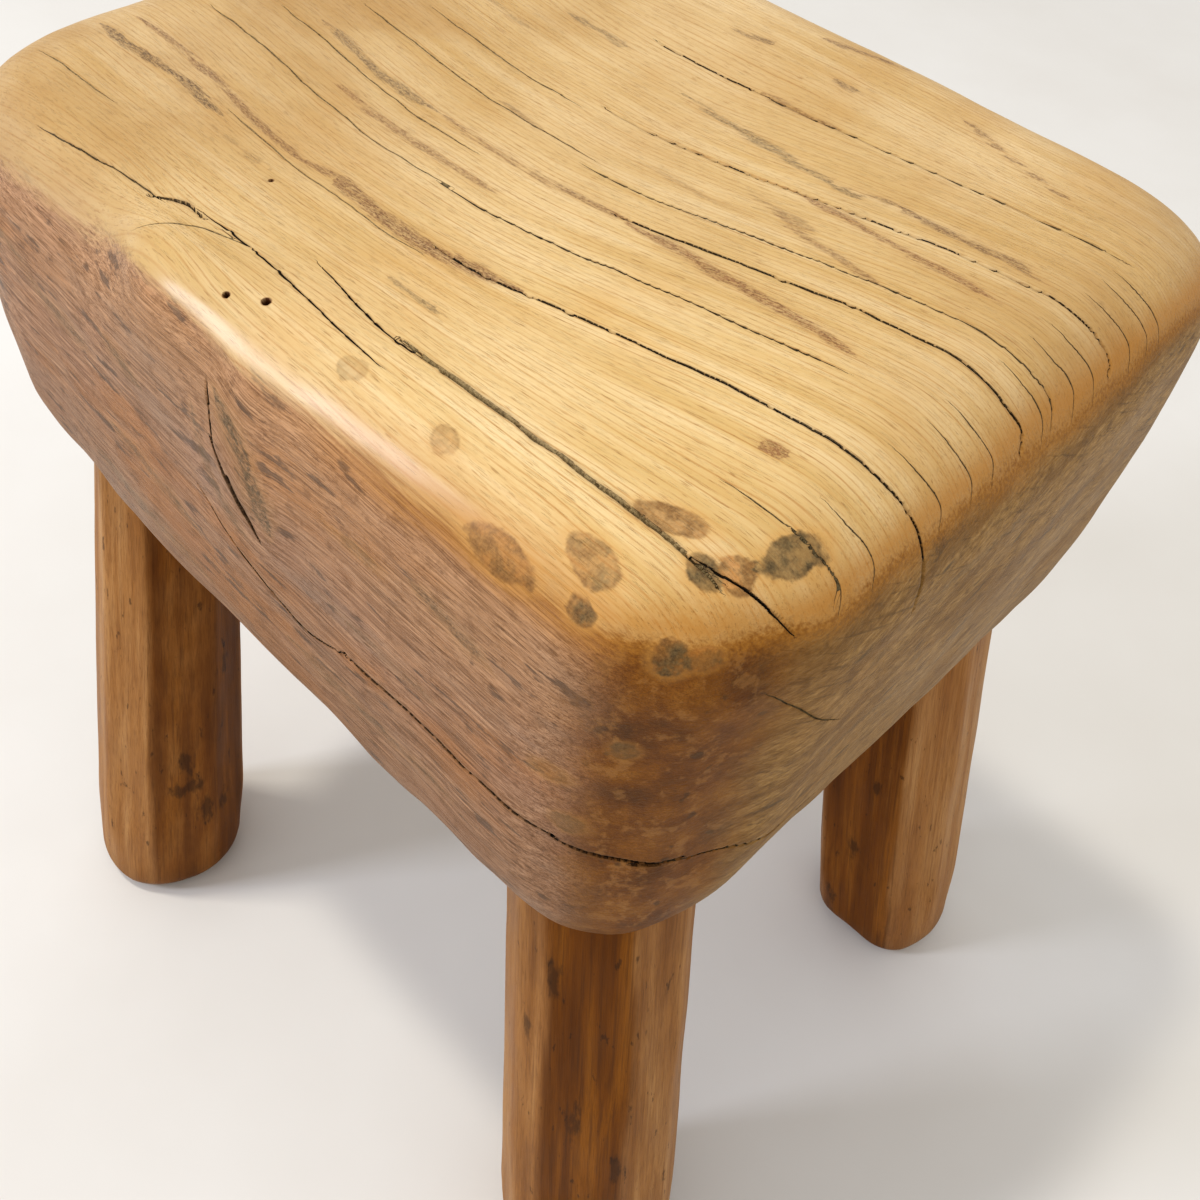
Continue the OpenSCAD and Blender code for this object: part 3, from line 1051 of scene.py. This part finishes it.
def front_colour(s, grain, depth, fibres, coarse, patches, mottle):
    """The long hewn sides: pinkish brown fibres, paler above, with grey flecks."""
    colour = s.ramp(coarse, (0.3, "704e32"), (0.47, "a07858"), (0.68, "c69c78"))
    hue = s.noise(s.vector("ADD", grain, (90, 50, 0)), (0.01, 0.06, 0.045), 3, 0.6)
    colour = s.tint(colour, (hue, 0.5, 0.66, 0.55, "b0743a"))
    colour = s.mix(s.step(hue, 0.34, 0.48, 0.5, 0), colour, "96806e")
    colour = s.tint(
        colour,
        (patches, 0.45, 0.7, 0.35, "ae866c"),
        (depth, 370, 430, 0.35, "ca9c6c"),
    )
    colour = s.mix(s.step(depth, 300, 380, 0.35, 0), colour, "7e5c3c")
    colour = s.tint(colour, (fibres, 0.48, 0.62, 0.62, "694628"))
    threads = s.noise(grain, (0.028, 2, 2), 4, 0.75)
    colour = s.tint(colour, (threads, 0.56, 0.63, 0.5, "50331a"))
    colour = s.mix(s.step(threads, 0.3, 0.44, 1, 0) * 0.3, colour, "cfa47c")
    flecks = s.noise(s.vector("ADD", grain, (40, 7, 3)), (0.045, 0.2, 0.2), 3, 0.65)
    flecks = flecks + (mottle - 0.5) * 0.2
    colour = s.tint(colour, (flecks, 0.585, 0.67, 0.6, "4a3e34"))
    return s.tint(colour, (mottle, 0.52, 0.66, 0.35, "6c4826"))


def end_colour(s, place, patches, mottle):
    """The ends: short fibres slanting down to the front, yellower than the sides."""
    turned = s.turned(place, -12)
    slant = s.noise(turned, (420, 240, 900), 5, 0.75)
    crossed = s.turned(place, 24)
    scratch = s.noise(crossed, (200, 45, 900), 3, 0.7)
    slant_wide = s.noise(turned, (60, 18, 130), 3, 0.6)
    colour = s.ramp(slant, (0.3, "6a4c26"), (0.49, "98743e"), (0.68, "ba945c"))
    colour = s.tint(
        colour,
        (slant_wide, 0.42, 0.62, 0.6, "74501e"),
        (patches, 0.5, 0.72, 0.4, "9a7446"),
        (scratch, 0.56, 0.68, 0.45, "503818"),
    )
    marks = s.noise(turned, (40, 50, 150), 3, 0.6)
    colour = s.tint(
        colour,
        (marks, 0.61, 0.7, 0.6, "4a3a26"),
        (mottle, 0.5, 0.66, 0.4, "5c3c16"),
    )
    return colour, slant


def add_streaks(s, colour, grain, speckle, streak):
    """Open early wood on the top: ragged, grainy bands."""
    ratio, strength, grey = streak
    ragged = s.noise(grain, (0.14, 1.1, 0.5), 4, 0.75)
    fine = s.noise(grain, (0.5, 1.6, 0.5), 3, 0.8)
    edge = ratio + (ragged - 0.5) * 2.6 + (fine - 0.5) * 1.4
    inside = s.step(edge, 0.7, 1.25, 1, 0)
    cover = s.step(fine, 0.38, 0.6, 0.25, 1)
    gritty = s.step(speckle, 0.35, 0.65)
    brown = s.mix(gritty, "6c4424", "956a44")
    ash = s.mix(gritty, "423625", "75644a")
    tone = s.mix(grey, brown, ash)
    amount = inside * cover * strength
    halo = s.step(edge, 0.8, 3.2, 0.22, 0) * strength
    colour = s.mix(halo, colour, "b48c58")
    return s.mix(amount * 0.9, colour, tone)


def add_stains(s, colour, place, mottle, speckle, stain):
    """Old stains: ragged spots with a darker rim and a mixed, patchy heart."""
    inside, grey, orange, strength = stain
    wide = s.noise(place, 70, 3, 0.6)
    patchy = s.noise(place, 230, 3, 0.6)
    wobble = (mottle - 0.5) * 0.3 + (wide - 0.5) * 0.5
    level = inside + wobble * s.step(inside, 0.05, 0.4)
    body = s.step(level, 0.42, 0.54)
    rim = body * s.step(level, 0.5, 0.62, 1, 0)
    gritty = s.step(speckle, 0.3, 0.7)
    dark = s.mix(gritty, "6a4824", "8c6538")
    ash = s.mix(gritty, "463a26", "6a5a3c")
    rust = s.mix(gritty, "9a5a22", "b87a3c")
    tone = s.mix(s.step(grey + (wide - 0.5) * 2.5, 0.35, 0.7), dark, ash)
    tone = s.mix(s.step(patchy, 0.46, 0.62) * orange, tone, rust)
    glow = s.step(level, 0.15, 0.5, 0, 0.4) * strength
    colour = s.mix(glow, colour, "c4924e")
    cover = s.step(patchy, 0.3, 0.62, 0.95, 0.55) * strength
    colour = s.mix(body * cover, colour, tone)
    return s.mix(rim * strength * 0.15, colour, "4a3018")


def leg_material():
    """Darker, redder shaved oak with the grain running up the leg, with painted light and shade on its flats
    and painted highlights along the edges between them.
    """
    s = Shader("leg_oak")
    # Painted light and shade of each flat, closeness to the edges between flats, and dark knot marks
    tone, edge, knot = s.parts(s.attribute("leg"))
    rise, seed, _ = s.parts(s.attribute("lift"))
    moved = s.vector("ADD", s.attribute("grain"), s.node("CombineXYZ", {0: seed * 137}))
    bands = s.noise(moved, (0.006, 0.12, 0.12), 2, 0.55)
    lines = s.noise(moved, (0.01, 0.8, 0.8), 3, 0.65)
    fibres = s.noise(moved, (0.06, 2.6, 2.6), 3, 0.7)
    blotch = s.noise(moved, (0.018, 0.05, 0.05), 4, 0.65)
    specks = s.noise(moved, (0.09, 0.3, 0.3), 3, 0.6)
    # A shaded and a lit copy of the same oak, blended by each flat's painted light and shade
    dark = s.ramp(bands, (0.32, "5e3200"), (0.5, "744204"), (0.68, "8c5610"))
    light = s.ramp(bands, (0.32, "9a6834"), (0.5, "aa7a46"), (0.68, "b88c5a"))
    share = s.step(tone + (blotch - 0.5) * 0.7, 0.1, 0.85)
    colour = s.mix(share, dark, light)
    # Painted highlight along the edges between flats
    colour = s.mix(edge * 0.22, colour, "b48658")
    # Grain lines, coloured by each flat's painted light and shade
    colour = s.mix(s.step(lines, 0.45, 0.7) * 0.5, colour, s.mix(share, "4c2a0c", "8a5c30"))
    colour = s.tint(
        colour,
        (fibres, 0.42, 0.7, 0.35, "4c2a04"),
        (specks, 0.64, 0.72, 0.6, "331d0a"),
    )
    shadow = knot + (specks - 0.5) * 1.8
    colour = s.tint(colour, (shadow, 0.35, 0.8, 0.6, "2e1a08"))
    # Dirt from the floor at the foot
    colour = s.mix(s.step(rise, 0, 0.1, 0.35, 0), colour, "5a3c1e")
    height = lines * 0.5 + fibres * 0.5
    roughness = s.step(blotch, 0.3, 0.7, 0.4, 0.55)
    return s.finish(colour, roughness, height, 0.25)


def wedge_material():
    """Plain riven oak."""
    s = Shader("wedge_oak")
    place = s.place()
    fibres = s.noise(place, (900, 900, 60), 3, 0.6)
    colour = s.ramp(fibres, (0.3, "a98052"), (0.7, "d3ab78"))
    return s.finish(colour, 0.6, fibres, 0.2)


def floor_material():
    """Pale, very faintly mottled floor."""
    s = Shader("pale_floor")
    place = s.place()
    mottle = s.noise(place, 4, 4, 0.6)
    colour = s.ramp(mottle, (0.3, "dad6cd"), (0.7, "dfdcd4"))
    fine = s.noise(place, 60, 3, 0.6)
    return s.finish(colour, 0.6, fine, 0.1)


# ==== Camera, lights and floor ====

def add_camera():
    """The camera at the photograph's viewing angle."""
    turn, rise, roll = math.radians(39.3), math.radians(48.7), math.radians(6.4)
    back = Vector((math.sin(turn) * math.cos(rise), -math.cos(turn) * math.cos(rise), math.sin(rise)))
    level = Vector((math.cos(turn), math.sin(turn), 0))
    over = back.cross(level)
    right = level * math.cos(roll) + over * math.sin(roll)
    up = over * math.cos(roll) - level * math.sin(roll)
    data = bpy.data.cameras.new("camera")
    data.sensor_width = 36
    data.lens = 39.6
    camera = add_object("camera", data)
    place = Vector((0.2555, -0.2755, 0.6535))
    camera.matrix_world = Matrix((
        (right.x, up.x, back.x, place.x),
        (right.y, up.y, back.y, place.y),
        (right.z, up.z, back.z, place.z),
        (0, 0, 0, 1),
    ))
    bpy.context.scene.camera = camera


def add_area(name, place, aim, size, power, colour):
    data = bpy.data.lights.new(name, "AREA")
    data.shape = "RECTANGLE"
    data.size, data.size_y = size
    data.energy = power
    data.color = colour
    light = add_object(name, data)
    light.location = place
    light.rotation_euler = (Vector(aim) - Vector(place)).to_track_quat("-Z", "Y").to_euler()


def add_lights():
    """Soft daylight from above and a window on the left, in a pale room."""
    add_area("key", place=(-0.55, -0.40, 2.6), aim=(0, 0, 0.3), size=(0.20, 0.20), power=19,
             colour=(1.0, 0.96, 0.90))
    add_area("window", place=(-1.15, -1.63, 1.5), aim=(0.02, -0.13, 0.43), size=(0.36, 0.70), power=19,
             colour=(0.76, 0.82, 1.0))
    world = bpy.data.worlds.new("room")
    world.use_nodes = True
    background = world.node_tree.nodes["Background"]
    background.inputs["Color"].default_value = (0.97, 0.97, 1.0, 1)
    background.inputs["Strength"].default_value = 0.76
    bpy.context.scene.world = world


def add_floor():
    reach = 6.0
    corners = np.array([(-reach, -reach, 0), (reach, -reach, 0), (reach, reach, 0), (-reach, reach, 0)])
    floor = add_piece("floor", new_mesh("floor", corners, [(0, 1, 2, 3)]), floor_material())


# ==== The stool ====

add_camera()
add_lights()
add_floor()

seat = build_seat(seat_material())
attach(seat, "root")
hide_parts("seat")

leg_oak = leg_material()
for leg_name in LEGS:
    leg = build_leg(leg_name, leg_oak)
    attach(leg, "root")
    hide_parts(leg_name)

wedge_oak = wedge_material()
for node_name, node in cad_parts.items():
    if node_name.startswith("wedge"):
        for slot in node.material_slots:
            slot.material = wedge_oak

bpy.context.scene.view_settings.view_transform = "Standard"
bpy.context.scene.view_settings.look = "Medium High Contrast"
